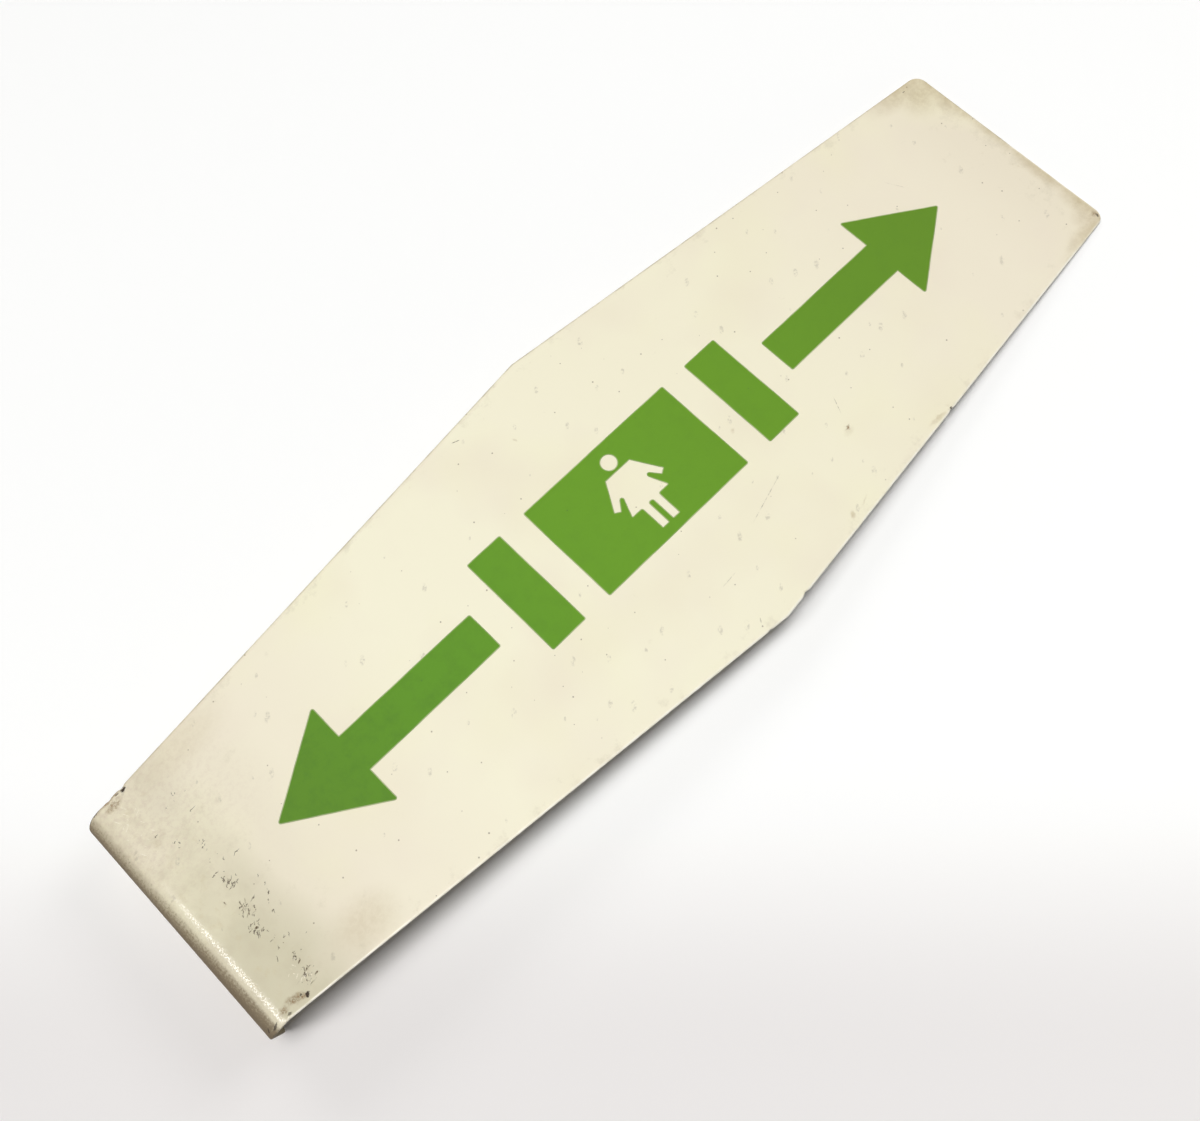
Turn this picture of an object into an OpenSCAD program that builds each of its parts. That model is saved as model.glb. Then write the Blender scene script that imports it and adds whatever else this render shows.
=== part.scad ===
// Flanged washroom sign: one piece of painted sheet steel. Its face is a long hexagon,
// one end turned down through a round bend into a short flange with two screw holes.
// Units are millimetres. The sign lies face up, as it comes to rest on a table:
// on the flange's free edge and on the far end's lower edge, +X towards the far end.

/* [Sheet] */
// Thickness of the painted sheet
sheet_t = 1; // [0.6:0.1:2]

/* [Face] */
// Length of the flat face, from the far end to where the bend begins
face_len = 304.8; // [200:0.1:500]
// Distance from the far end to the widest place
mid_at = 152.4; // [120:0.1:180]
// Width at the widest place
mid_w = 101.6; // [80:0.1:160]
// Width at the far end
end_w = 69.85; // [50:0.05:78]
// Width where the bend begins
fold_w = 68.9; // [58:0.1:78]
// Corner radius at the far end
end_r = 3.6; // [1:0.1:12]

/* [Flange] */
// Inside radius of the bend
bend_in_r = 6; // [2:0.1:7]
// Height of the flange, from its free edge to the face
flange_h = 25.4; // [20:0.1:40]
// Narrowing of the flange on each side, for each millimetre of its height
flange_taper = 0.1; // [0:0.01:0.2]
// Corner radius at the free edge
flange_r = 3.6; // [1:0.1:6]

/* [Screw holes] */
// Diameter of each screw hole
hole_d = 4.8; // [3:0.1:7]
// Distance between the two holes
hole_gap = 38.1; // [20:0.1:44]
// Distance of the holes from the free edge
hole_up = 9.5; // [6:0.1:11]

/* [Hidden] */
$fn = 96;
paint = "#efe7d0";
// How far a cutter stands past what it cuts
past = 1;
// How far a round stands past the sides it meets, so that they cross at one clean point
hair = 0.001;

bend_out_r = bend_in_r + sheet_t;
// Distance from the flange's outer face to the far end
reach = face_len + bend_out_r;
// Height of the face's underside above the free edge
under_z = flange_h - sheet_t;
// Height at which the bend ends and the flat of the flange begins
leg_h = flange_h - bend_out_r;
// Half width of the flange at its free edge
foot_w = fold_w / 2 - flange_taper * under_z;
// Slope at which the far end's lower edge and the free edge's inner corner touch the table
rest_tilt = atan2(under_z, reach - sheet_t);

function unit(v) = v / norm(v);
// Half the angle of the corner p between its neighbours a and b
function half_angle(p, a, b) = acos(unit(a - p) * unit(b - p)) / 2;
// Where a round of radius r at the corner p meets the side towards a
function tangent_point(p, a, b, r) = p + unit(a - p) * r / tan(half_angle(p, a, b));
// Direction from the corner p to the middle of its round
function inwards(p, a, b) = unit(unit(a - p) + unit(b - p));
function round_centre(p, a, b, r) = p + inwards(p, a, b) * r / sin(half_angle(p, a, b));

// What a round of radius r takes off the corner p between its neighbours a and b
module corner_waste(p, a, b, r) {
    centre = round_centre(p, a, b, r);
    difference() {
        polygon([
            p - inwards(p, a, b) * past,
            tangent_point(p, a, b, r),
            centre,
            tangent_point(p, b, a, r)
        ]);
        translate(centre) circle(r + hair);
    }
}

// Outline of the flat face seen from above, the far end's corners rounded
module face_outline() {
    fold_near = [bend_out_r, -fold_w / 2];
    mid_near = [reach - mid_at, -mid_w / 2];
    end_near = [reach, -end_w / 2];
    end_far = [reach, end_w / 2];
    mid_far = [reach - mid_at, mid_w / 2];
    fold_far = [bend_out_r, fold_w / 2];
    difference() {
        polygon([fold_near, mid_near, end_near, end_far, mid_far, fold_far]);
        corner_waste(end_near, mid_near, end_far, end_r);
        corner_waste(end_far, end_near, mid_far, end_r);
    }
}

// Outline of the bend and flange seen from the wall, [across, up], the free corners rounded.
// It is as wide as the face through the sheet's thickness, and narrows below it.
module flange_outline() {
    foot_near = [-foot_w, 0];
    foot_far = [foot_w, 0];
    under_near = [-fold_w / 2, under_z];
    under_far = [fold_w / 2, under_z];
    difference() {
        polygon([
            foot_near,
            foot_far,
            under_far,
            [fold_w / 2, flange_h],
            [-fold_w / 2, flange_h],
            under_near
        ]);
        corner_waste(foot_near, under_near, foot_far, flange_r);
        corner_waste(foot_far, foot_near, under_far, flange_r);
    }
}

// Section of the bend and flange, [along, up]: a quarter ring over a straight leg
module fold_section() {
    translate([bend_out_r, leg_h]) intersection() {
        difference() {
            circle(bend_out_r);
            circle(bend_in_r);
        }
        translate([-bend_out_r, 0]) square(bend_out_r);
    }
    square([sheet_t, leg_h]);
}

// The two holes through the flange, for round-headed screws
module screw_holes() {
    for (side = [-1, 1])
        translate([-past, side * hole_gap / 2, hole_up])
            rotate([0, 90, 0]) cylinder(h = sheet_t + 2 * past, d = hole_d);
}

// Bend and flange: the section carried across the width, then cut to the outline
module fold() {
    difference() {
        intersection() {
            translate([0, fold_w / 2, 0])
                rotate([90, 0, 0]) linear_extrude(fold_w) fold_section();
            rotate([90, 0, 90]) linear_extrude(bend_out_r) flange_outline();
        }
        screw_holes();
    }
}

// The sheet with its flange upright, the free edge at z = 0 and the outer face at x = 0
module folded_sheet() {
    translate([0, 0, under_z]) linear_extrude(sheet_t) face_outline();
    fold();
}

// The sign as it lies, the middle of its outermost sizes over the origin
module sign_plate() {
    far_x = reach * cos(rest_tilt) + flange_h * sin(rest_tilt);
    color(paint)
        translate([-far_x / 2, 0, sheet_t * sin(rest_tilt)])
            rotate([0, rest_tilt, 0]) folded_sheet();
}

sign_plate();
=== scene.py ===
"""A flanged washroom sign lying face up on white paper: aged cream enamel and green screen print.

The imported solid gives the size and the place. The sheet is rebuilt here with rounded and
nicked edges, so that its enamel catches the light as the real one does. Lengths inside the
classes are millimetres, and Blender's objects are in metres in the row frame.
"""

from __future__ import annotations

import logging
import math
from dataclasses import dataclass
from enum import Enum
from typing import Any

import bmesh
import bpy
import numpy as np
from bpy.types import Material, NodeSocket, Object, World
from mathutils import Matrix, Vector
from mathutils.geometry import tessellate_polygon

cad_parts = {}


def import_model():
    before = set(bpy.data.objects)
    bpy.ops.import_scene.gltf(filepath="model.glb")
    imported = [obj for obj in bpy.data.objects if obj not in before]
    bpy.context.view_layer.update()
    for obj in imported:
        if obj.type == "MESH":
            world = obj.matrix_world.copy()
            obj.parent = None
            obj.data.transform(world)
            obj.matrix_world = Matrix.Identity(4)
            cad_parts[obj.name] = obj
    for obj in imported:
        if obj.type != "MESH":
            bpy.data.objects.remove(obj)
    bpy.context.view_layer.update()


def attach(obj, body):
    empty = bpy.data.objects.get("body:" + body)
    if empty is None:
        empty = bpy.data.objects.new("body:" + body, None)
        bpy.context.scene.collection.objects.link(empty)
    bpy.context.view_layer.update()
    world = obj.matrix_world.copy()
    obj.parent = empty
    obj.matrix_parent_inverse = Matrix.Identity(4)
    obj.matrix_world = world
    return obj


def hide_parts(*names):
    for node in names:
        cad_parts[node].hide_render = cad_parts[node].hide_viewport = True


LOG = logging.getLogger("sign")
MM = 0.001
BODY = "root"
# The meshes' attributes: each point's place on the flat sheet, and how pale the ink's rim is there
FLAT = "flat_mm"
RIM = "rim"

Inputs = dict[str | int, Any]
# Colours along a ramp: place from 0 to 1, and colour
Stops = tuple[tuple[float, str], ...]
# How a share changes: the values from which and to which, and the share at each
Span = tuple[float, float, float, float]
# Point numbers of a skin's grid, by column and row
Grid = dict[tuple[int, int], int]


def linear(colour: str) -> tuple[float, float, float, float]:
    """Turns an sRGB hex colour to linear light.

    Args:
        colour: six hex digits after a hash sign.

    Returns:
        Red, green, blue and an alpha of 1.
    """
    parts = [int(colour[i : i + 2], 16) / 255 for i in (1, 3, 5)]
    return (*(c / 12.92 if c <= 0.04045 else ((c + 0.055) / 1.055) ** 2.4 for c in parts), 1.0)


class Nodes:
    """The shader nodes of a material or world in the making."""

    def __init__(self, owner: Material | World) -> None:
        """Starts the nodes afresh, with their output.

        Args:
            owner: the material or world.
        """
        owner.use_nodes = True
        self.tree = owner.node_tree
        self.tree.nodes.clear()
        self.output = self.tree.nodes.new("ShaderNodeOutput" + type(owner).__name__)

    def add(
        self,
        kind: str,
        *values: Any,
        inputs: Inputs | None = None,
        out: str | int = 0,
        stops: Stops = (),
        **settings: Any,
    ) -> NodeSocket:
        """Adds one node with its settings and links.

        Args:
            kind: the node's type, without the word ShaderNode.
            values: a value or another node's socket for each of the first inputs.
            inputs: the same for other inputs, by name or place.
            out: the output that the caller links on, by name or place.
            stops: the colours of a ramp, which is eased between them.
            settings: the node's own settings.

        Returns:
            The output socket.
        """
        made = self.tree.nodes.new("ShaderNode" + kind)
        for name, value in settings.items():
            setattr(made, name, value)
        if stops:
            made.color_ramp.interpolation = "EASE"
            for spot, _ in stops[2:]:
                made.color_ramp.elements.new(spot)
            for element, (spot, tint) in zip(made.color_ramp.elements, stops):
                element.position, element.color = spot, linear(tint)
        for key, value in {**dict(enumerate(values)), **(inputs or {})}.items():
            if isinstance(value, NodeSocket):
                self.tree.links.new(value, made.inputs[key])
            else:
                made.inputs[key].default_value = value
        return made.outputs[out]

    def show(self, shader: NodeSocket) -> None:
        """Links the finished shader to the output."""
        self.tree.links.new(shader, self.output.inputs[0])


class Coating(Nodes):
    """A material in the making for the sheet, which reads the flat places from its mesh."""

    def __init__(self, name: str) -> None:
        """Starts the material.

        Args:
            name: the material's name.
        """
        self.material = bpy.data.materials.new(name)
        super().__init__(self.material)
        self.flat = self.add("Attribute", out="Vector", attribute_name=FLAT)
        self.run, self.across, self.depth = self.add("SeparateXYZ", self.flat).node.outputs

    def coated(self, ground: NodeSocket, coats: list[tuple[NodeSocket, str]]) -> NodeSocket:
        """Lays coats of colour over a ground, one over another.

        Args:
            ground: the colour below.
            coats: share and colour of each coat.

        Returns:
            The colour on top.
        """
        for share, tint in coats:
            mixed = {0: share, 6: ground, 7: linear(tint)}
            ground = self.add("Mix", inputs=mixed, out=2, data_type="RGBA")
        return ground


@dataclass(frozen=True)
class Grain:
    """A random pattern of a real size in millimetres.

    Detail is how many finer patterns it holds, rough is how strong they are, and levels say
    which noise turns to which share.
    """

    size: float
    detail: float = 2.0
    rough: float = 0.5
    levels: Span = (0.0, 1.0, 0.0, 1.0)

    def at(self, place: NodeSocket) -> Inputs:
        """What a noise node needs to draw the pattern at a place of the sheet."""
        return {"Vector": place, "Scale": 1 / self.size, "Detail": self.detail, "Roughness": self.rough}


@dataclass(frozen=True)
class SheetSize:
    """The folded sheet's sizes, as in the part's source.

    A place on the sheet is given flat, as before folding: run from the flange's free edge
    to the far end, across from the middle line, and depth below the painted outside.
    """

    thick: float = 1.0
    face_len: float = 304.8
    mid_at: float = 152.4
    mid_w: float = 101.6
    end_w: float = 69.85
    fold_w: float = 68.9
    end_r: float = 3.6
    bend_in_r: float = 6.0
    flange_h: float = 25.4
    flange_taper: float = 0.1
    flange_r: float = 3.6
    hole_d: float = 4.8
    hole_gap: float = 38.1
    hole_up: float = 9.5

    @property
    def bend_r(self) -> float:
        """Outside radius of the bend."""
        return self.bend_in_r + self.thick

    @property
    def leg(self) -> float:
        """Run at which the flange's flat ends and the bend begins."""
        return self.flange_h - self.bend_r

    @property
    def face_from(self) -> float:
        """Run at which the bend ends and the face begins."""
        return self.leg + self.bend_r * math.pi / 2

    @property
    def run_mid(self) -> float:
        """Run of the widest place."""
        return self.run_end - self.mid_at

    @property
    def run_end(self) -> float:
        """Run of the far end."""
        return self.face_from + self.face_len

    @property
    def foot_half(self) -> float:
        """Half width of the flange at its free edge."""
        return self.fold_w / 2 - self.flange_taper * (self.flange_h - self.thick)

    def half_width(self, run: np.ndarray) -> np.ndarray:
        """Half the sheet's width at each run, the corners taken as sharp.

        Args:
            run: runs in millimetres.

        Returns:
            Half widths in millimetres.
        """
        turn = np.clip((run - self.leg) / self.bend_r, 0, math.pi / 2)
        height = np.minimum(run, self.leg) + self.bend_r * np.sin(turn)
        flange = self.foot_half + self.flange_taper * np.minimum(height, self.flange_h - self.thick)
        runs, widths = (self.face_from, self.run_mid, self.run_end), (self.fold_w, self.mid_w, self.end_w)
        return np.where(run < self.face_from, flange, np.interp(run, runs, widths) / 2)

    def place(self, flat: np.ndarray) -> np.ndarray:
        """Folds flat places and lays the sign down as it rests.

        Args:
            flat: rows of run, across and depth in millimetres.

        Returns:
            Rows of x, y and z in metres, in the row frame.
        """
        run, across, depth = np.asarray(flat, float).T
        turn = np.clip((run - self.leg) / self.bend_r, 0, math.pi / 2)
        swing = self.bend_r - depth
        x = self.bend_r - swing * np.cos(turn) + np.maximum(run - self.face_from, 0)
        z = np.minimum(run, self.leg) + swing * np.sin(turn)
        reach = self.bend_r + self.face_len
        tilt = math.atan2(self.flange_h - self.thick, reach - self.thick)
        cos, sin = math.cos(tilt), math.sin(tilt)
        middle = (reach * cos + self.flange_h * sin) / 2
        laid = (x * cos + z * sin - middle, across, -x * sin + z * cos + self.thick * sin)
        return MM * np.stack(laid, axis=1)


@dataclass(frozen=True)
class Nick:
    """A small dent knocked into a long edge."""

    run: float
    side: int
    length: float
    depth: float


@dataclass(frozen=True)
class Mark:
    """One mark on the enamel: an ellipse on the flat sheet, its long side turned by angle degrees."""

    run: float
    across: float
    length: float
    width: float
    angle: float = 0.0
    strength: float = 1.0


@dataclass(frozen=True)
class Scatter:
    """Small specks or strokes strewn at random: cell, turn, share of cells used, sizes and solid core."""

    cell: tuple[float, float]
    turn: float
    share: float
    smallest: float
    largest: float
    core: float = 0.6


@dataclass(frozen=True)
class WearLook:
    """How a kind of wear looks.

    The core is where a mark begins to be solid, and the grain breaks it up. What has strokes
    is drawn by them alone. What is sunk has lost its enamel.
    """

    tint: str
    core: float = 0.1
    grain: Grain | None = Grain(1.8, 6.0, 0.75, (0.42, 0.58, 0.65, 1.0))
    strokes: tuple[Scatter, Scatter] | None = None
    ragged: bool = True
    sunk: bool = False


class Wear(Enum):
    """What is left on the enamel, in the order in which it lies over the rest."""

    STAIN = WearLook("#b9a67c")
    RUB = WearLook(
        "#ece4d0",
        strokes=(Scatter((6.0, 0.55), 28.0, 0.7, 0.1, 0.26), Scatter((4.4, 0.6), -64.0, 0.6, 0.1, 0.26)),
        ragged=False,
    )
    RUST = WearLook("#8f6f4b", grain=Grain(0.8, 6.0, 0.75, (0.42, 0.58, 0.1, 1.0)), sunk=True)
    SCUFF = WearLook(
        "#4d402d",
        core=0.5,
        strokes=(Scatter((3.4, 0.45), 15.0, 0.75, 0.1, 0.45), Scatter((2.2, 0.45), 67.0, 0.75, 0.1, 0.45)),
    )
    SCRATCH = WearLook("#66563d", 0.6, Grain(1.6, 6.0, 0.75, (0.42, 0.58, 0.0, 1.0)), ragged=False, sunk=True)
    CHIP = WearLook("#3b3127", 0.6, grain=None, sunk=True)


@dataclass(frozen=True)
class FilmLayer:
    """One layer of the film on the bend: grime, and painted shade deepening further round it.

    It thickens over a part of the bend, and closes as its level, with the grain's weight in
    it, passes from the first of the levels to the second.
    """

    tint: str
    grain: Grain
    weight: float
    part: tuple[float, float]
    levels: tuple[float, float]
    most: float


@dataclass(frozen=True)
class AgedEnamel:
    """Stoved enamel sprayed on mild steel, decades old.

    It gives the eye a satin cream that has yellowed unevenly, greyer and dirtier towards
    both ends, and a gritty brown film on the bend, deepened further round it by painted shade,
    that breaks the light line into sparks. Its rolled edge has a painted highlight along the
    lower side and painted shade along the upper side.
    """

    size: SheetSize
    marks: dict[Wear, tuple[Mark, ...]]
    # Tone along the sheet, by share of the run
    tones: Stops = (
        (0.00, "#cfc5a9"),
        (0.06, "#d4caad"),
        (0.095, "#e2d9be"),
        (0.12, "#ddd4bb"),
        (0.155, "#e9e0c8"),
        (0.21, "#f0e8d0"),
        (0.33, "#f5f0d5"),
        (0.68, "#f3edd2"),
        (0.90, "#efe6cf"),
        (1.00, "#e9dfc8"),
    )
    # Broad blotches over the tone: colour, seed and pattern
    blotches: tuple[tuple[str, float, Grain], ...] = (
        ("#ebdfcb", 3.0, Grain(34.0, levels=(0.47, 0.72, 0.0, 0.65))),
        ("#f2eec9", 11.0, Grain(34.0, levels=(0.47, 0.72, 0.0, 0.45))),
    )
    # Olive in a patch beside the bend, greige and tan clouds of grime, dusky mottling by the fold
    olive: str = "#ccc5a8"
    greige: str = "#c9bfa5"
    tan: str = "#c8b892"
    dusky: str = "#c9b6a2"
    speck: str = "#7a6749"
    smudge: str = "#a59c88"
    # Painted highlight on the rolled edge's lower side, painted shade on its upper side
    pale_edge: str = "#fbf8ee"
    dark_edge: str = "#a89b7d"
    cut_edge: str = "#756a54"
    back: str = "#a4997c"
    dirty_back: str = "#998b6f"
    # How much the zones add to the clouds, how solid a dust speck is, and how soon the film and its painted
    # shade set in
    zone_step: float = 0.2
    dust_most: float = 0.65
    film_onset: float = 0.08
    # The bend's brown film: grime, with painted shade where the bend turns away from the light
    film: tuple[FilmLayer, ...] = (
        FilmLayer("#998b6f", Grain(1.4, 4.0, 0.7), 0.3, (0.26, 0.62), (0.12, 1.0), 0.85),
        FilmLayer("#6d5c42", Grain(0.672, 4.0, 0.7), 1.3, (0.26, 1.5), (0.78, 1.1), 0.75),
        FilmLayer("#6d5c42", Grain(3.0, 4.0, 0.7), 0.3, (0.48, 0.8), (0.3, 1.0), 0.7),
    )
    # Dust and smudges, in cells as wide as the gaps between them
    dust: Scatter = Scatter((6.5, 6.5), 15.0, 0.22, 0.015, 0.045)
    smudges: Scatter = Scatter((15.0, 7.5), 48.0, 0.5, 0.03, 0.12)
    ior: float = 1.5
    # The face has chalked to a dull satin, unevenly and duller where dirty or gone, and hands have
    # burnished it where the bend begins
    roughness: float = 0.55
    uneven: float = 0.08
    duller: float = 0.3
    burnished: float = 0.2
    # Patterns by their real sizes: torn outlines, grime, smears, the broken edge line, clumps of
    # strokes and their spray grain, frosted wax, satin, orange peel and grit
    torn: Grain = Grain(1.3, 3.0, 0.7)
    torn_by: float = 1.6
    cloud: Grain = Grain(7.0, 6.0, 0.72, (0.66, 0.86, 0.0, 0.45))
    small_cloud: Grain = Grain(2.8, 6.0, 0.72, (0.74, 0.94, 0.0, 0.45))
    rim_patches: Span = (0.35, 0.6, 0.25, 0.95)
    mottle: Grain = Grain(1.5, 5.0, 0.75, (0.46, 0.66, 0.0, 0.45))
    smear: Grain = Grain(1.1, 3.0, 0.7, (0.45, 0.6, 0.0, 0.4))
    worn_line: Grain = Grain(6.0, 4.0, 0.6, (0.35, 0.6, 0.25, 0.8))
    clump: Grain = Grain(2.6, levels=(0.36, 0.54, 0.0, 1.0))
    spray: Grain = Grain(0.42, levels=(0.37, 0.49, 0.0, 0.95))
    wax: Grain = Grain(0.42, 3.0)
    wax_shift: float = 0.4
    frost: Grain = Grain(0.45, levels=(0.44, 0.56, 0.1, 1.0))
    satin: Grain = Grain(4.0, 5.0)
    peel: Grain = Grain(1.8)
    grit: Grain = Grain(0.546)
    # How deep the relief of each is, in millimetres
    peel_deep: float = 0.004
    grit_deep: float = 0.04
    chip_deep: float = 0.08
    # By depth: the painted outside, and the sheared edge below the paint
    outside: Span = (0.35, 0.65, 1.0, 0.0)
    sheared: Span = (0.99, 0.96, 0.0, 1.0)
    # By run from the end of the bend: where the olive and the edge line begin
    olive_begins: tuple[float, float] = (-1.6, -0.2)
    line_on_face: tuple[float, float] = (-3.0, 1.0)
    # By run: where the olive patch fades out, the ends' grime, and where the lower edge is rubbed bare
    held: Span = (49.0, 35.0, 0.0, 0.95)
    near_fold: Span = (66.0, 34.0, 0.0, 1.0)
    near_far: Span = (312.0, 334.0, 0.0, 1.0)
    handled: Span = (60.0, 170.0, 0.5, 0.06)
    # By distance from the edge: its grime, the far end's dark rim, and the painted highlight and shade line
    # along the edge
    near_edge: Span = (8.0, 0.0, 0.0, 0.8)
    far_rim: Span = (3.2, 0.2, 0.0, 0.75)
    edge_line: Span = (0.6, 0.25, 0.0, 1.0)
    # By across: how much further the olive patch reaches and how strong it is on the lower side, and what
    # differs there
    held_further: Span = (-8.0, -32.0, 0.0, 7.0)
    held_below: Span = (17.0, 0.0, 0.0, 1.0)
    mottled_above: Span = (0.0, 16.0, 0.15, 1.0)
    film_below: Span = (12.0, -34.0, 0.0, 0.3)
    upper_half: Span = (-2.0, 2.0, 0.0, 1.0)
    burnished_below: Span = (13.0, -2.0, 0.0, 1.0)
    # By share of the bend: how the film and its painted shade thin on the flange, how the grit
    # comes up, and where the burnished line begins and ends, the wax's grain shifting both
    film_kept: Span = (0.9, 1.5, 1.0, 0.35)
    gritty: Span = (0.0, 0.1, 0.15, 1.0)
    line_begins: Span = (0.22, 0.28, 0.0, 1.0)
    line_ends: Span = (0.42, 0.6, 1.0, 0.0)

    def make(self) -> Material:
        """Builds the enamel's material.

        Returns:
            The material.
        """
        paint = Coating("aged_cream_enamel")
        outside = paint.add("MapRange", paint.depth, *self.outside, interpolation_type="SMOOTHSTEP")
        edge = self.edge_distance(paint)
        # 0 where the face ends, 1 where the flange's flat begins, less or more beyond them
        bend = paint.add("MapRange", paint.run, self.size.face_from, self.size.leg, 0.0, 1.0, clamp=False)
        colour, dirt = self.grime(paint, self.tone(paint), edge)
        colour = self.bend_film(paint, colour, bend)
        # Painted highlight along the lower edge, painted shade along the upper
        colour, bare = self.lined(paint, colour, edge)
        bare = paint.add("Math", bare, outside, operation="MULTIPLY")
        mixed = {0: dirt, 6: linear(self.back), 7: linear(self.dirty_back)}
        back = paint.add("Mix", inputs=mixed, out=2, data_type="RGBA")
        colour = paint.add("Mix", inputs={0: outside, 6: back, 7: colour}, out=2, data_type="RGBA")
        cut = paint.add("MapRange", paint.depth, *self.sheared)
        cut = paint.add("Math", cut, outside, operation="SUBTRACT", use_clamp=True)
        colour = paint.coated(colour, [(cut, self.cut_edge)])
        ragged = self.ragged(paint)
        sunk: Any = 0.0
        for kind in Wear:
            mask = self.worn(paint, kind, ragged if kind.value.ragged else paint.flat)
            mask = paint.add("Math", mask, outside, operation="MULTIPLY")
            colour = paint.coated(colour, [(mask, kind.value.tint)])
            if kind.value.sunk:
                sunk = paint.add("Math", sunk, mask, operation="MAXIMUM")
        rubbed = self.rubbed(paint, bend)
        normal = self.relief(paint, bend, sunk)
        gloss = {
            "Base Color": colour,
            "Metallic": bare,
            "Roughness": self.gloss(paint, rubbed, dirt, sunk),
            "IOR": self.ior,
            "Normal": normal,
            "Coat Weight": rubbed,
            "Coat Roughness": self.burnished,
            "Coat Normal": normal,
        }
        paint.show(paint.add("BsdfPrincipled", inputs=gloss))
        return paint.material

    def ragged(self, paint: Coating) -> NodeSocket:
        """Shifts the flat place by up to 0.8 mm, so that no mark has a clean outline.

        Args:
            paint: the material in the making.

        Returns:
            The shifted flat place.
        """
        noise = paint.add("TexNoise", inputs=self.torn.at(paint.flat), out="Color")
        shift = paint.add("VectorMath", noise, (-0.5, -0.5, -0.5), operation="ADD")
        most = (self.torn_by, self.torn_by, 0.0)
        return paint.add("VectorMath", shift, most, paint.flat, operation="MULTIPLY_ADD")

    def edge_distance(self, paint: Coating) -> NodeSocket:
        """Distance from the face's nearest outer edge, in millimetres.

        Args:
            paint: the material in the making.

        Returns:
            The distance. On the flange it is the distance from its long sides.
        """
        s = self.size
        rise = (s.mid_w - s.fold_w) / 2 / (s.run_mid - s.face_from)
        fall = (s.end_w - s.mid_w) / 2 / s.mid_at
        near, far = (
            paint.add("Math", paint.run, slope, s.mid_w / 2 - slope * s.run_mid, operation="MULTIPLY_ADD")
            for slope in (rise, fall)
        )
        half = paint.add("Math", near, far, operation="MINIMUM")
        half = paint.add("Math", half, s.foot_half, operation="MAXIMUM")
        off = paint.add("Math", paint.across, operation="ABSOLUTE")
        side = paint.add("Math", half, off, operation="SUBTRACT")
        end = paint.add("Math", s.run_end, paint.run, operation="SUBTRACT")
        return paint.add("Math", side, end, operation="MINIMUM")

    def tone(self, paint: Coating) -> NodeSocket:
        """Cream that darkens and greys towards the ends, with an olive patch beside the bend that reaches
        further on the lower side.

        Args:
            paint: the material in the making.

        Returns:
            The colour before dirt and wear.
        """
        share = paint.add("Math", paint.run, self.size.run_end, operation="DIVIDE")
        colour = paint.add("ValToRGB", share, stops=self.tones)
        further = paint.add("MapRange", paint.across, *self.held_further)
        held = paint.add("Math", paint.run, further, operation="SUBTRACT")
        held = paint.add("MapRange", held, *self.held)
        below = paint.add("MapRange", paint.across, *self.held_below)
        on_face = paint.add("MapRange", paint.run, *(self.size.face_from + off for off in self.olive_begins))
        for part in (below, on_face):
            held = paint.add("Math", held, part, operation="MULTIPLY")
        coats = [(held, self.olive)]
        for tint, seed, grain in self.blotches:
            noise = paint.add("TexNoise", inputs={**grain.at(paint.flat), "W": seed}, noise_dimensions="4D")
            coats.append((paint.add("MapRange", noise, *grain.levels), tint))
        return paint.coated(colour, coats)

    def grime(self, paint: Coating, colour: NodeSocket, edge: NodeSocket) -> tuple[NodeSocket, NodeSocket]:
        """Lays clouds of grime near the ends and edges, dust specks and smudges on the tone.

        Args:
            paint: the material in the making.
            colour: the tone so far.
            edge: distance from the outer edge.

        Returns:
            The grimy colour, and the share of dirt for the gloss.
        """
        near_edge = paint.add("MapRange", edge, *self.near_edge)
        near_fold = paint.add("MapRange", paint.run, *self.near_fold)
        near_far = paint.add("MapRange", paint.run, *self.near_far)
        zone = paint.add("Math", near_fold, near_far, operation="MAXIMUM")
        zone = paint.add("Math", zone, near_edge, operation="MAXIMUM")
        dirt: Any = 0.0
        coats = []
        for tint, grain in ((self.greige, self.cloud), (self.tan, self.small_cloud)):
            cloud = paint.add("TexNoise", inputs=grain.at(paint.flat))
            level = paint.add("Math", zone, self.zone_step, cloud, operation="MULTIPLY_ADD")
            coats.append((paint.add("MapRange", level, *grain.levels), tint))
            dirt = paint.add("Math", dirt, coats[-1][0], operation="MAXIMUM")
        mottle = paint.add("TexNoise", inputs=self.mottle.at(paint.flat))
        mottle = paint.add("MapRange", mottle, *self.mottle.levels)
        for part in (near_fold, paint.add("MapRange", paint.across, *self.mottled_above)):
            mottle = paint.add("Math", mottle, part, operation="MULTIPLY")
        rim = paint.add("MapRange", edge, *self.far_rim, interpolation_type="SMOOTHSTEP")
        for part in (near_far, paint.add("MapRange", cloud, *self.rim_patches)):
            rim = paint.add("Math", rim, part, operation="MULTIPLY")
        smear = paint.add("TexNoise", inputs=self.smear.at(paint.flat))
        smear = paint.add("MapRange", smear, *self.smear.levels)
        coats += [(mottle, self.dusky), (rim, self.tan)]
        strewn = ((self.dust, self.speck, self.dust_most), (self.smudges, self.smudge, smear))
        for scatter, tint, most in strewn:
            dots = self.strewn(paint, paint.flat, scatter)
            coats.append((paint.add("Math", dots, most, operation="MULTIPLY"), tint))
        return paint.coated(colour, coats), dirt

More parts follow.
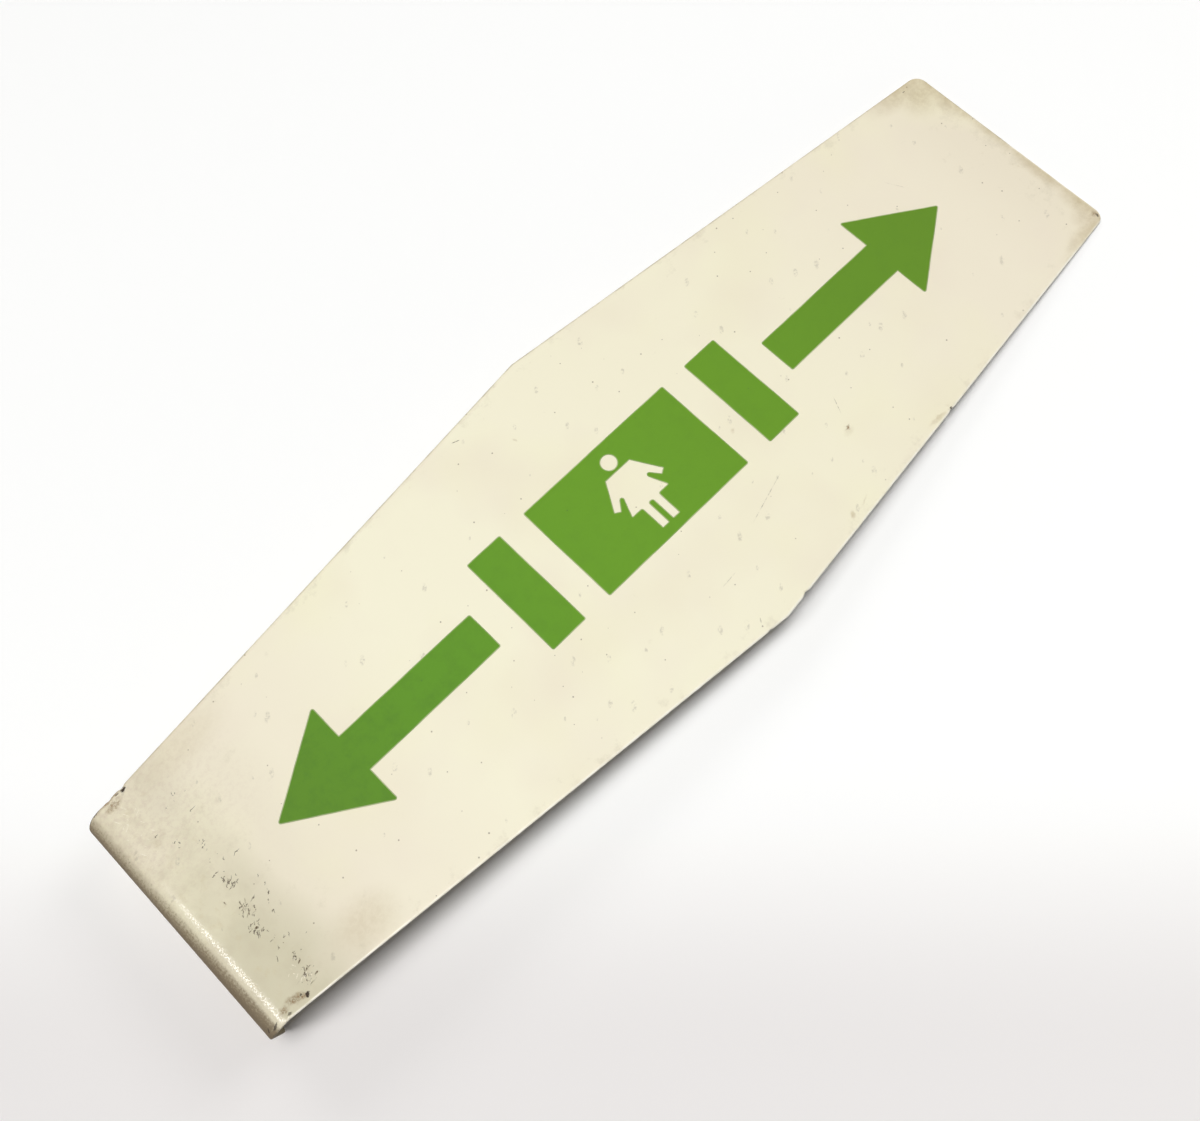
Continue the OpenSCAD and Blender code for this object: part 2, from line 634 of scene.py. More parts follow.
    def bend_film(self, paint: Coating, colour: NodeSocket, bend: NodeSocket) -> NodeSocket:
        """Lays the mottled brown film on the bend: grime, and painted shade where the bend turns
        from the light. It is heavier further round the bend and lighter on the flange.

        Args:
            paint: the material in the making.
            colour: the colour so far.
            bend: how far round the bend.

        Returns:
            The colour with the film.
        """
        below = paint.add("MapRange", paint.across, *self.film_below)
        kept = paint.add("MapRange", bend, *self.film_kept)
        for layer in self.film:
            noise = paint.add("TexNoise", inputs=layer.grain.at(paint.flat))
            rolled = paint.add("MapRange", bend, *layer.part, 0.0, 1.0)
            rolled = paint.add("Math", rolled, below, operation="ADD")
            level = paint.add("Math", noise, layer.weight, rolled, operation="MULTIPLY_ADD")
            share = paint.add("MapRange", level, *layer.levels, 0.0, layer.most)
            begun = paint.add("MapRange", bend, layer.part[0], layer.part[0] + self.film_onset)
            for part in (begun, kept):
                share = paint.add("Math", share, part, operation="MULTIPLY")
            # Grime and painted shade, darker further round the bend
            colour = paint.coated(colour, [(share, layer.tint)])
        return colour

    def lined(self, paint: Coating, colour: NodeSocket, edge: NodeSocket) -> tuple[NodeSocket, NodeSocket]:
        """Lays a painted line along the face's rolled edge: painted highlight on the lower side, painted
        shade above.

        Args:
            paint: the material in the making.
            colour: the colour so far.
            edge: distance from the outer edge.

        Returns:
            The colour with the line, and the share of bare metal in it.
        """
        upper = paint.add("MapRange", paint.across, *self.upper_half)
        broken = paint.add("TexNoise", inputs=self.worn_line.at(paint.flat))
        broken = paint.add("MapRange", broken, *self.worn_line.levels)
        on_face = paint.add("MapRange", paint.run, *(self.size.face_from + off for off in self.line_on_face))
        line = paint.add("MapRange", edge, *self.edge_line)
        for part in (broken, on_face):
            line = paint.add("Math", line, part, operation="MULTIPLY")
        bare = paint.add("Math", 1.0, upper, operation="SUBTRACT")
        for part in (line, paint.add("MapRange", paint.run, *self.handled)):
            bare = paint.add("Math", bare, part, operation="MULTIPLY")
        # Painted highlight below, painted shade above
        mixed = {0: upper, 6: linear(self.pale_edge), 7: linear(self.dark_edge)}
        tint = paint.add("Mix", inputs=mixed, out=2, data_type="RGBA")
        return paint.add("Mix", inputs={0: line, 6: colour, 7: tint}, out=2, data_type="RGBA"), bare

    def strewn(
        self, paint: Coating, place: NodeSocket, scatter: Scatter, share: NodeSocket | float = 1.0
    ) -> NodeSocket:
        """Strews specks or strokes at random, one to a cell.

        Args:
            paint: the material in the making.
            place: the place on the sheet.
            scatter: how they are strewn.
            share: scales the share of cells used, from 0 to 1.

        Returns:
            A mask from 0 to 1.
        """
        turn = (0.0, 0.0, math.radians(scatter.turn))
        laid = {"Vector": place, "Rotation": turn, "Scale": (*scatter.cell, 1.0)}
        drawn = {"Vector": paint.add("Mapping", inputs=laid, vector_type="TEXTURE"), "Scale": 1.0}
        cells = paint.add("TexVoronoi", inputs=drawn, voronoi_dimensions="2D").node.outputs
        pick = paint.add("SeparateXYZ", cells["Color"]).node.outputs
        used = paint.add("Math", share, scatter.share, operation="MULTIPLY")
        used = paint.add("Math", pick[0], used, operation="LESS_THAN")
        reach = paint.add("MapRange", pick[1], 0.0, 1.0, scatter.smallest, scatter.largest)
        ratio = paint.add("Math", cells["Distance"], reach, operation="DIVIDE")
        dot = paint.add("MapRange", ratio, 1.0, scatter.core)
        return paint.add("Math", dot, used, operation="MULTIPLY")

    def worn(self, paint: Coating, kind: Wear, place: NodeSocket) -> NodeSocket:
        """Where one kind of wear shows.

        Args:
            paint: the material in the making.
            kind: the kind of wear.
            place: the flat place, or the shifted one for what has no straight lines.

        Returns:
            A mask from 0 to 1.
        """
        look: WearLook = kind.value
        total: Any = 0.0
        for mark in self.marks[kind]:
            laid = {
                "Vector": place,
                "Location": (mark.run, mark.across, 0.0),
                "Rotation": (0.0, 0.0, math.radians(mark.angle)),
                # So long in depth that the mark goes through the sheet
                "Scale": (mark.length / 2, mark.width / 2, 1000.0),
            }
            local = paint.add("Mapping", inputs=laid, vector_type="TEXTURE")
            radius = paint.add("VectorMath", local, out="Value", operation="LENGTH")
            limits = (1.0, look.core, 0.0, mark.strength)
            one = paint.add("MapRange", radius, *limits, interpolation_type="SMOOTHSTEP")
            total = paint.add("Math", total, one, operation="MAXIMUM")
        grain = look.grain
        if look.strokes:
            clump = paint.add("TexNoise", inputs=self.clump.at(place))
            clump = paint.add("MapRange", clump, *self.clump.levels)
            total = paint.add("Math", total, clump, operation="MULTIPLY")
            strokes = [self.strewn(paint, place, scatter, total) for scatter in look.strokes]
            total = paint.add("Math", *strokes, operation="MAXIMUM")
            grain = self.spray
        if grain:
            noise = paint.add("TexNoise", inputs=grain.at(place))
            broken = paint.add("MapRange", noise, *grain.levels)
            total = paint.add("Math", total, broken, operation="MULTIPLY")
        return total

    def rubbed(self, paint: Coating, bend: NodeSocket) -> NodeSocket:
        """Where hands have burnished and waxed the enamel: the lower part of the bend's beginning.

        Args:
            paint: the material in the making.
            bend: how far round the bend.

        Returns:
            A mask from 0 to 1.
        """
        wax = paint.add("TexNoise", inputs=self.wax.at(paint.flat))
        shifted = paint.add("Math", wax, self.wax_shift, bend, operation="MULTIPLY_ADD")
        begun = paint.add("MapRange", shifted, *self.line_begins)
        ended = paint.add("MapRange", shifted, *self.line_ends)
        below = paint.add("MapRange", paint.across, *self.burnished_below, interpolation_type="SMOOTHSTEP")
        frost = paint.add("TexNoise", inputs=self.frost.at(paint.flat))
        mask = paint.add("MapRange", frost, *self.frost.levels)
        for part in (begun, ended, below):
            mask = paint.add("Math", mask, part, operation="MULTIPLY")
        return mask

    def gloss(self, paint: Coating, rubbed: NodeSocket, dirt: NodeSocket, sunk: NodeSocket) -> NodeSocket:
        """Dull satin on the face, burnished where the bend begins, duller where dirty or gone.

        Args:
            paint: the material in the making.
            rubbed: where the enamel is burnished.
            dirt: share of dirt.
            sunk: where the enamel is gone.

        Returns:
            The roughness.
        """
        noise = paint.add("TexNoise", inputs=self.satin.at(paint.flat))
        least = self.roughness - self.uneven / 2
        rough = paint.add("Math", noise, self.uneven, least, operation="MULTIPLY_ADD")
        rough = paint.add("Mix", inputs={0: rubbed, 2: rough, 3: self.burnished})
        rough = paint.add("Math", dirt, self.duller, rough, operation="MULTIPLY_ADD")
        return paint.add("Math", sunk, self.duller, rough, operation="MULTIPLY_ADD", use_clamp=True)

    def relief(self, paint: Coating, bend: NodeSocket, sunk: NodeSocket) -> NodeSocket:
        """Faint orange peel, spray grit on the bend, and chips sunk into the enamel.

        Args:
            paint: the material in the making.
            bend: how far round the bend.
            sunk: where the enamel is gone.

        Returns:
            The normal.
        """
        peel = paint.add("TexNoise", inputs=self.peel.at(paint.flat))
        grit = paint.add("TexNoise", inputs=self.grit.at(paint.flat))
        rolled = paint.add("MapRange", bend, *self.gritty)
        grit = paint.add("Math", grit, rolled, operation="MULTIPLY")
        hollow = paint.add("Math", sunk, -1.0, operation="MULTIPLY")
        below: Inputs = {}
        for height, deep in ((peel, self.peel_deep), (grit, self.grit_deep), (hollow, self.chip_deep)):
            bumps = {"Height": height, "Distance": deep * MM, "Strength": 1.0, **below}
            normal = paint.add("Bump", inputs=bumps)
            below = {"Normal": normal}
        return normal


@dataclass(frozen=True)
class ScreenInk:
    """Enamel ink pulled through a stencil and baked.

    It gives the eye a leaf green of even body with a thin pale rim where the ink feathered,
    sprinkled with dark grains and a little dust.
    """

    size: SheetSize
    # Tone along the sheet, by share of the run
    tones: Stops = (
        (0.18, "#54830a"),
        (0.33, "#588e0b"),
        (0.50, "#619509"),
        (0.65, "#609106"),
        (0.80, "#5b8804"),
        (0.93, "#5a8403"),
    )
    deep: str = "#44700a"
    rim_tint: str = "#c9cf9f"
    # Dark grains and dust: the gap between them in millimetres, their colour and largest radius.
    # Half of the gaps have one, and it is solid inside a soft rim
    grains: tuple[tuple[float, str, float], ...] = ((3.2, "#47701f", 0.10), (4.6, "#a6bd7c", 0.05))
    used: tuple[float, float] = (0.5, 1.0)
    soft: Span = (0.0, 0.04, 0.0, 0.6)
    ior: float = 1.45
    roughness: float = 0.7
    uneven: float = 0.1
    # Patterns by their real sizes: clouds where it was touched, the feathered rim, the ink's tooth
    cloud: Grain = Grain(5.0, 6.0, 0.7, (0.46, 0.7, 0.0, 1.0))
    feather: Grain = Grain(12.0, levels=(0.4, 0.6, 0.35, 1.0))
    tooth: Grain = Grain(0.6, 3.0)
    tooth_deep: float = 0.006
    # By share of the run: how much it was touched
    touched: Span = (0.45, 0.2, 0.12, 0.5)

    def make(self) -> Material:
        """Builds the ink's material.

        Returns:
            The material, which also reads the rim from the mesh.
        """
        ink = Coating("green_screen_ink")
        share = ink.add("Math", ink.run, self.size.run_end, operation="DIVIDE")
        cloud = ink.add("TexNoise", inputs=self.cloud.at(ink.flat))
        cloud = ink.add("MapRange", cloud, *self.cloud.levels)
        touched = ink.add("MapRange", share, *self.touched)
        coats = [(ink.add("Math", cloud, touched, operation="MULTIPLY"), self.deep)]
        for gap, tint, size in self.grains:
            cells = ink.add("TexVoronoi", inputs={"Vector": ink.flat, "Scale": 1 / gap}).node.outputs
            pick = ink.add("SeparateXYZ", cells["Color"], out=1)
            reach = ink.add("MapRange", pick, *self.used, 0.0, size)
            dot = ink.add("Math", reach, cells["Distance"], operation="SUBTRACT")
            coats.append((ink.add("MapRange", dot, *self.soft), tint))
        rim = ink.add("Attribute", out="Fac", attribute_name=RIM)
        feather = ink.add("TexNoise", inputs=self.feather.at(ink.flat))
        feather = ink.add("MapRange", feather, *self.feather.levels)
        coats.append((ink.add("Math", rim, feather, operation="MULTIPLY"), self.rim_tint))
        tooth = ink.add("TexNoise", inputs=self.tooth.at(ink.flat))
        relief = {"Height": tooth, "Distance": self.tooth_deep * MM, "Strength": 1.0}
        least = self.roughness - self.uneven / 2
        look = {
            "Base Color": ink.coated(ink.add("ValToRGB", share, stops=self.tones), coats),
            "Roughness": ink.add("Math", tooth, self.uneven, least, operation="MULTIPLY_ADD"),
            "IOR": self.ior,
            "Normal": ink.add("Bump", inputs=relief),
        }
        ink.show(ink.add("BsdfPrincipled", inputs=look))
        return ink.material


@dataclass(frozen=True)
class PaperSweep:
    """Matt white photographer's paper, with painted shade greying it towards the camera's foot."""

    bright: str = "#e0e0df"
    shade: str = "#d1cfce"
    roughness: float = 0.9
    # How much brighter the camera sees the paper, burnt out as a product photograph's white is
    overexposure: float = 1.4
    # Where the painted shade begins and ends along the fall direction, in millimetres
    fall: tuple[float, float] = (62.0, 138.0)
    fall_angle: float = 225.3

    def make(self) -> Material:
        """Builds the paper's material.

        Returns:
            The material.
        """
        made = bpy.data.materials.new("white_paper")
        paper = Nodes(made)
        angle = math.radians(self.fall_angle)
        down = (math.cos(angle), math.sin(angle), 0.0)
        along = paper.add(
            "VectorMath", paper.add("TexCoord", out="Object"), down, out="Value", operation="DOT_PRODUCT"
        )
        limits = (self.fall[0] * MM, self.fall[1] * MM)
        share = paper.add("MapRange", along, *limits, interpolation_type="SMOOTHSTEP")
        # Painted shade greys the paper along the fall direction
        mixed = {0: share, 6: linear(self.bright), 7: linear(self.shade)}
        colour = paper.add("Mix", inputs=mixed, out=2, data_type="RGBA")
        seen = paper.add("LightPath", out="Is Camera Ray")
        gain = paper.add("MapRange", seen, 0.0, 1.0, 1.0, self.overexposure)
        colour = paper.add("VectorMath", colour, inputs={"Scale": gain}, operation="SCALE")
        paper.show(paper.add("BsdfDiffuse", inputs={"Color": colour, "Roughness": self.roughness}))
        return made


def rounded(corners: list[tuple[float, float]], radius: float, steps: int = 4) -> np.ndarray:
    """Rounds every corner of a closed outline.

    Args:
        corners: the outline's corners in order.
        radius: the radius of each round.
        steps: chords in each round.

    Returns:
        The rounded outline's points.
    """
    nearly_straight = math.radians(89)
    points = []
    for i, corner in enumerate(corners):
        here = np.array(corner, float)
        back = np.array(corners[i - 1], float) - here
        ahead = np.array(corners[(i + 1) % len(corners)], float) - here
        back /= np.linalg.norm(back)
        ahead /= np.linalg.norm(ahead)
        half = math.acos(float(np.clip(back @ ahead, -1, 1))) / 2
        if half > nearly_straight:
            points.append(here)
            continue
        inwards = (back + ahead) / np.linalg.norm(back + ahead)
        centre = here + inwards * radius / math.sin(half)
        start = here + back * radius / math.tan(half) - centre
        end = here + ahead * radius / math.tan(half) - centre
        turn = math.atan2(start[0] * end[1] - start[1] * end[0], float(start @ end))
        for k in range(steps + 1):
            a = turn * k / steps
            spin = np.array([[math.cos(a), -math.sin(a)], [math.sin(a), math.cos(a)]])
            points.append(centre + spin @ start)
    return np.array(points)


def outward(loop: np.ndarray) -> np.ndarray:
    """Outward directions of a closed outline that runs anticlockwise.

    Args:
        loop: the outline's points.

    Returns:
        A unit direction for each point.
    """
    along = np.roll(loop, -1, axis=0) - np.roll(loop, 1, axis=0)
    out = np.stack([along[:, 1], -along[:, 0]], axis=1)
    return out / np.linalg.norm(out, axis=1, keepdims=True)


class FlatMesh:
    """Collects points given flat on the sheet, and turns them into a folded mesh."""

    def __init__(self, size: SheetSize) -> None:
        """Starts an empty mesh.

        Args:
            size: the sheet's sizes.
        """
        self.size = size
        self.points: list[tuple[float, float, float]] = []
        self.faces: list[tuple[int, ...]] = []

    def ring(self, points: np.ndarray, depth: float) -> list[int]:
        """Adds points at one depth.

        Args:
            points: rows of run and across.
            depth: their depth below the outside.

        Returns:
            The new points' numbers.
        """
        first = len(self.points)
        self.points += [(float(p[0]), float(p[1]), depth) for p in points]
        return list(range(first, len(self.points)))

    def join(self, one: list[int], other: list[int]) -> None:
        """Joins two closed rings of equal length by a band of faces."""
        pairs = list(zip(one, other))
        self.faces += [(a, c, d, b) for (a, b), (c, d) in zip(pairs, pairs[1:] + pairs[:1])]

    def finish(self, name: str, material: Material, rims: dict[int, float] | None = None) -> Object:
        """Makes the Blender object.

        Args:
            name: the object's name.
            material: its material.
            rims: the rim value of points that have one.

        Returns:
            The object, in the row frame.
        """
        mesh = bpy.data.meshes.new(name)
        mesh.from_pydata(self.size.place(np.array(self.points)).tolist(), [], self.faces)
        attribute = mesh.attributes.new(FLAT, "FLOAT_VECTOR", "POINT")
        attribute.data.foreach_set("vector", np.array(self.points, np.float32).ravel())
        if rims is not None:
            values = np.array([rims.get(i, 0.0) for i in range(len(self.points))], np.float32)
            mesh.attributes.new(RIM, "FLOAT", "POINT").data.foreach_set("value", values)
        shaped = bmesh.new()
        shaped.from_mesh(mesh)
        bmesh.ops.recalc_face_normals(shaped, faces=shaped.faces)
        shaped.to_mesh(mesh)
        shaped.free()
        mesh.shade_smooth()
        mesh.materials.append(material)
        made = bpy.data.objects.new(name, mesh)
        bpy.context.scene.collection.objects.link(made)
        return made


@dataclass(frozen=True)
class Outline:
    """The sheet's outline in columns, from the free edge to the far end.

    Nicks move a column's side inwards and leave its outward direction alone, so that the
    mesh never folds over itself beside one.
    """

    runs: np.ndarray
    across: np.ndarray
    out: np.ndarray

    def inset(self, amount: float, column: int, share: float) -> tuple[float, float]:
        """Place of a grid point, the outline drawn in by amount.

        Args:
            amount: how far the outline is drawn in.
            column: the point's column.
            share: the point's place across, from 0 to 1.

        Returns:
            Run and across.
        """
        near, far = (
            np.array([self.runs[column], self.across[side][column]]) - amount * self.out[side][column]
            for side in (0, 1)
        )
        spot = near * (1 - share) + far * share
        return float(spot[0]), float(spot[1])


@dataclass
class FoldedSheet:
    """The sign's one piece: a sheet with soft sheared edges, folded once, with two screw holes."""

    size: SheetSize
    nicks: tuple[Nick, ...]
    # Radius of the outside's, the underside's and the holes' arrises, and the flat band beside each
    top_round: float = 0.42
    under_round: float = 0.2
    hole_round: float = 0.18
    support: float = 0.25
    rows: int = 56
    column_gap: float = 2.4
    # The opening in the grid round each hole: its rows, and the runs of its columns
    hole_rows: tuple[int, int] = (40, 48)
    hole_columns: tuple[float, float] = (4.8, 14.2)
    bend_steps: int = 18
    round_steps: int = 8
    edge_steps: int = 6
    nick_steps: int = 6
    least_gap: float = 0.05

    def build(self, material: Material) -> Object:
        """Builds the sheet's mesh.

        Args:
            material: the enamel.

        Returns:
            The sheet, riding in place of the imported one.
        """
        outline = self.outline()
        mesh = FlatMesh(self.size)
        skins = (
            self.skin(mesh, outline, self.top_round + self.support, 0.0),
            self.skin(mesh, outline, self.under_round + self.support, self.size.thick),
        )
        self.wrap_edge(mesh, outline, skins)
        self.punch(mesh, outline, skins)
        made = mesh.finish("folded_sheet", material)
        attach(made, BODY)
        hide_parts("sign_plate")
        return made

    def side(self) -> np.ndarray:
        """Columns of the mesh along one long side, from the free edge to the far end.

        Returns:
            Rows of run and half width, the end corners rounded.
        """
        s, steps = self.size, self.round_steps
        half = s.half_width(np.array([0.0, s.run_end]))
        inner = s.half_width(np.array([s.leg, s.run_mid]))
        foot = rounded([(0.0, 0.0), (s.leg, inner[0]), (0.0, half[0])], s.flange_r, steps)[-steps - 1 :][::-1]
        tip = rounded([(s.run_end, 0.0), (s.run_end, half[1]), (s.run_mid, inner[1])], s.end_r, steps)
        tip = tip[steps + 1 : 2 * steps + 2][::-1]
        low, high = self.hole_columns
        flat_from, flat_to = s.face_from + 1.0, float(tip[0][0]) - 1.0
        runs = [
            *np.linspace(low, high, self.hole_rows[1] - self.hole_rows[0] + 1),
            (high + s.leg) / 2,
            *np.linspace(s.leg, s.face_from, self.bend_steps + 1),
            *np.linspace(flat_from, flat_to, round((flat_to - flat_from) / self.column_gap) + 1),
        ]
        beside = range(1 - self.nick_steps, self.nick_steps)
        kept = [s.run_mid, *(n.run + n.length * k / self.nick_steps for n in self.nicks for k in beside)]
        crowded = self.column_gap / 4
        kept += [r for r in runs if min(abs(r - other) for other in kept) > crowded or r <= s.face_from]
        kept = np.array(sorted(kept))
        kept = kept[np.concatenate([[True], np.diff(kept) > self.least_gap])]
        return np.concatenate([foot, np.stack([kept, s.half_width(kept)], axis=1), tip])

    def outline(self) -> Outline:
        """Both sides of the sheet with their outward directions, and the nicks knocked in.

        Returns:
            The outline.
        """
        runs, halves = self.side().T
        along = np.stack([np.gradient(runs), np.gradient(halves)], axis=1)
        upper = np.stack([-along[:, 1], along[:, 0]], axis=1)
        upper /= np.linalg.norm(upper, axis=1, keepdims=True)
        upper[0], upper[-1] = (-1.0, 0.0), (1.0, 0.0)
        across = np.stack([-halves, halves])
        for nick in self.nicks:
            shape = np.exp(-2 * ((runs - nick.run) / (nick.length / 2)) ** 2)
            across[(nick.side + 1) // 2] -= nick.side * nick.depth * shape
        return Outline(runs, across, np.stack([upper * (1, -1), upper]))

    def skin(self, mesh: FlatMesh, outline: Outline, amount: float, depth: float) -> Grid:
        """Adds the outside or the underside as a grid, left open where the holes go.

        Args:
            mesh: the mesh to add to.
            outline: the sheet's outline.
            amount: how far the skin stops short of the outline.
            depth: its depth below the outside.

        Returns:
            The point number of each grid place.
        """
        numbers: Grid = {}
        columns = len(outline.runs)
        for k in range(columns):
            spots = [outline.inset(amount, k, j / self.rows) for j in range(self.rows + 1)]
            numbers.update({(k, j): n for j, n in enumerate(mesh.ring(np.array(spots), depth))})
        gaps = self.hole_blocks(outline)
        for k in range(columns - 1):
            for j in range(self.rows):
                if not any(a <= k < b and c <= j < d for a, b, c, d in gaps):
                    corners = ((k, j), (k + 1, j), (k + 1, j + 1), (k, j + 1))
                    mesh.faces.append(tuple(numbers[corner] for corner in corners))
        return numbers

    def hole_blocks(self, outline: Outline) -> list[tuple[int, int, int, int]]:
        """Finds the grid's opening round each hole.

        Args:
            outline: the sheet's outline.

        Returns:
            First and last column and first and last row of each opening.
        """
        first, last = (int(np.argmin(np.abs(outline.runs - r))) for r in self.hole_columns)
        low, high = self.hole_rows
        return [(first, last, low, high), (first, last, self.rows - high, self.rows - low)]

    def section(self, top: float, under: float) -> list[tuple[float, float]]:
        """Section of an edge from the outside to the underside.

        Args:
            top: radius of the outside's arris.
            under: radius of the underside's arris.

        Returns:
            How far in and how deep each point is.
        """
        angles = np.linspace(0, math.pi / 2, self.edge_steps + 1)
        upper = [(top * (1 - math.sin(a)), top * (1 - math.cos(a))) for a in angles]
        bottom = self.size.thick - under
        return upper + [(under * (1 - math.cos(a)), bottom + under * math.sin(a)) for a in angles]

    def wrap_edge(self, mesh: FlatMesh, outline: Outline, skins: tuple[Grid, Grid]) -> None:
        """Closes the sheet's outer edge, rolled over above and sharper below.

        Args:
            mesh: the mesh to add to.
            outline: the sheet's outline.
            skins: the grid numbers of the outside and the underside.
        """
        columns, rows = len(outline.runs), self.rows
        walk = [(k, 0) for k in range(columns)] + [(columns - 1, j) for j in range(1, rows + 1)]
        walk += [(k, rows) for k in range(columns - 2, -1, -1)] + [(0, j) for j in range(rows - 1, 0, -1)]
        last = [skins[0][place] for place in walk]
        for amount, depth in self.section(self.top_round, self.under_round):
            ring = mesh.ring(np.array([outline.inset(amount, k, j / rows) for k, j in walk]), depth)
            mesh.join(last, ring)
            last = ring
        mesh.join(last, [skins[1][place] for place in walk])

    def punch(self, mesh: FlatMesh, outline: Outline, skins: tuple[Grid, Grid]) -> None:
        """Makes the two screw holes in the grid's openings.

        Args:
            mesh: the mesh to add to.
            outline: the sheet's outline.
            skins: the grid numbers of the outside and the underside.
        """
        s = self.size
        flat = self.hole_round + self.support
        section = [(flat, 0.0), *self.section(self.hole_round, self.hole_round), (flat, s.thick)]
        for side, (a, b, c, d) in zip((1, -1), self.hole_blocks(outline)):
            walk = [(k, c) for k in range(a, b)] + [(b, j) for j in range(c, d)]
            walk += [(k, d) for k in range(b, a, -1)] + [(a, j) for j in range(d, c, -1)]
            centre = np.array([s.hole_up, side * s.hole_gap / 2])
            last = [skins[0][place] for place in walk]
            rays = np.array([mesh.points[i][:2] for i in last]) - centre
            rays /= np.linalg.norm(rays, axis=1, keepdims=True)
            for amount, depth in section:
                ring = mesh.ring(centre + rays * (s.hole_d / 2 + amount), depth)
                mesh.join(last, ring)
                last = ring
            mesh.join(last, [skins[1][place] for place in walk])


@dataclass
class PrintRow:
    """The green print along the face: a figure's panel between two bars and two arrows."""

    size: SheetSize
    # Run of the row's middle, and across of its lower and upper line
    middle: float = 179.75
    low: float = -14.6
    high: float = 16.8
    panel_w: float = 51.9
    stroke: float = 11.2
    gap: float = 9.0
    arrow_len: float = 68.0
    head_len: float = 24.0
    corner: float = 0.3
    # The figure: one side of its body from the crotch up to the neck, its head, and its rounds
    figure_side: tuple[tuple[float, float], ...] = (
        (0.75, -15.7),
        (4.0, -15.7),
        (4.0, -6.4),
        (8.6, -6.4),
        (4.4, 3.6),
        (9.3, -2.6),
        (11.6, -1.2),
        (5.6, 8.9),
    )
    head_at: float = 12.6
    head_r: float = 3.1
    head_steps: int = 48
    figure_round: float = 0.5
    figure_scale: float = 0.82
    # Section of the ink's edge: how far out from the outline, how high, how pale
    section: tuple[tuple[float, float, float], ...] = (
        (0.30, -0.02, 1.0),
        (0.30, 0.012, 1.0),
        (0.06, 0.035, 0.55),
        (-0.04, 0.07, 0.0),
        (-0.16, 0.08, 0.0),
        (-0.28, 0.08, 0.0),
    )

    @property
    def tall(self) -> float:
        """Half the row's height."""
        return (self.high - self.low) / 2

    def build(self, material: Material) -> list[Object]:
        """Builds the row's five prints.

        Args:
            material: the ink.

        Returns:
            The prints, from the flange to the far end.
        """
        bar_at = self.panel_w / 2 + self.gap + self.stroke / 2
        arrow_at = bar_at + self.stroke / 2 + self.gap
        plan = (
            ("print_arrow_flange", [self.arrow(-arrow_at, -1)]),
            ("print_bar_flange", [self.block(-bar_at, self.stroke)]),
            ("print_figure_panel", [self.block(0.0, self.panel_w), *self.figure()]),
            ("print_bar_far", [self.block(bar_at, self.stroke)]),
            ("print_arrow_far", [self.arrow(arrow_at, 1)]),
        )
        return [self.lay(name, loops, material) for name, loops in plan]

    def arrow(self, start: float, way: int) -> np.ndarray:
        """Outline of an arrow that starts beside a bar and points outwards.

        Args:
            start: where its shaft starts, from the row's middle.
            way: -1 towards the flange, 1 towards the far end.

        Returns:
            The outline, anticlockwise.
        """
        thick = self.stroke / 2
        neck = start + way * (self.arrow_len - self.head_len)
        lower = [(start, -thick), (neck, -thick), (neck, -self.tall)]
        corners = [*lower, (start + way * self.arrow_len, 0.0), *((x, -y) for x, y in reversed(lower))]
        return rounded(corners[::way], self.corner)

    def block(self, at: float, width: float) -> np.ndarray:
        """Outline of an upright block of this width, its middle at a place along the row, anticlockwise."""
        turns = ((-1, -1), (1, -1), (1, 1), (-1, 1))
        return rounded([(at + x * width / 2, y * self.tall) for x, y in turns], self.corner)

    def figure(self) -> list[np.ndarray]:
        """Outlines of a plain figure in a dress, left bare in its panel.

        Returns:
            The body's and the head's outline, clockwise.
        """
        side = self.figure_side
        legs, hem = side[0][0], side[2][1]
        body = [*side, *((-x, y) for x, y in reversed(side)), (-legs, hem), (legs, hem)]
        angles = np.linspace(0, 2 * math.pi, self.head_steps, endpoint=False)
        head = self.head_r * np.stack([np.cos(angles), np.sin(angles)], axis=1) + (0.0, self.head_at)
        return [loop[::-1] * self.figure_scale for loop in (rounded(body, self.figure_round), head)]

    def lay(self, name: str, loops: list[np.ndarray], material: Material) -> Object:
        """Lays a closed outline and its bare places on the face as one thin print.

        Args:
            name: the print's name.
            loops: its outline, then its bare places, about the row's middle.
            material: the ink.

        Returns:
            The print.
        """
        mesh = FlatMesh(self.size)
        rims: dict[int, float] = {}
        edges = []
        for loop in loops:
            out = outward(loop)
            spot = loop + (self.middle, (self.low + self.high) / 2)
            rings = []
            for amount, height, pale in self.section:
                rings.append(mesh.ring(spot + out * amount, -height))
                rims.update(dict.fromkeys(rings[-1], pale))
            for one, other in zip(rings, rings[1:]):
                mesh.join(one, other)
            edges.append(rings)
        for level in (0, -1):
            numbers = [i for rings in edges for i in rings[level]]
            flat = [[Vector((*mesh.points[i][:2], 0.0)) for i in rings[level]] for rings in edges]
            mesh.faces += [tuple(numbers[i] for i in corner) for corner in tessellate_polygon(flat)]
        made = mesh.finish(name, material, rims)
        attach(made, BODY)
        return made


@dataclass(frozen=True)
class Lamp:
    """One soft elliptical lamp far above the sign.

    Its direction and its sizes are given at a distance of 1, and its share is how bright it
    alone makes white paper.
    """

    name: str
    towards: tuple[float, float, float]
    sizes: tuple[float, float]
    share: float


